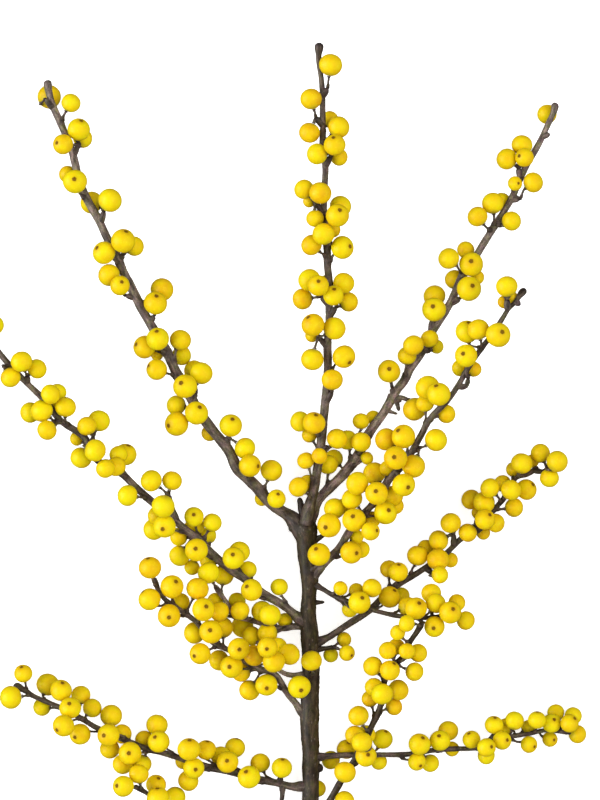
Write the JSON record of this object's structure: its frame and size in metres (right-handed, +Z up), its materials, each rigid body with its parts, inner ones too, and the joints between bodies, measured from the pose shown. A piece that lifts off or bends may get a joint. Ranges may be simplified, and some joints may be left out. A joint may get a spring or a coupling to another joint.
{
  "type": "berry branch",
  "caption": "Cut winterberry branch: a dark upright stem with spreading side twigs, carrying bunches of round yellow berries on short stalks, lying on a surface.",
  "frame": {"origin": "middle of the branch's bounding box, on the surface that it lies on", "axes": "+Y from the cut end towards the tips, +Z up off the surface, towards the side that the picture shows, +X to that view's right"},
  "size_m": [0.2511, 0.423, 0.0519],
  "materials": {
    "bark": "rough dark grey-brown bark with pale pores",
    "berries": "satin yellow berry skin with a dark dot at the tip; the twigs that carry the berries are bark"
  },
  "bodies": {
    "root": {"main_stem": "bark", "leader": "berries", "upper_left_spray": "berries", "upper_right_spray": "berries", "right_spray": "berries", "middle_right_spray": "berries", "small_right_spray": "berries", "lower_right_spray": "berries", "low_right_spray": "berries", "middle_left_spray": "berries", "inner_left_spray": "berries", "lower_left_spray": "berries", "short_left_spray": "berries", "low_left_spray": "berries", "bottom_left_spray": "berries"}
  },
  "joints": []
}
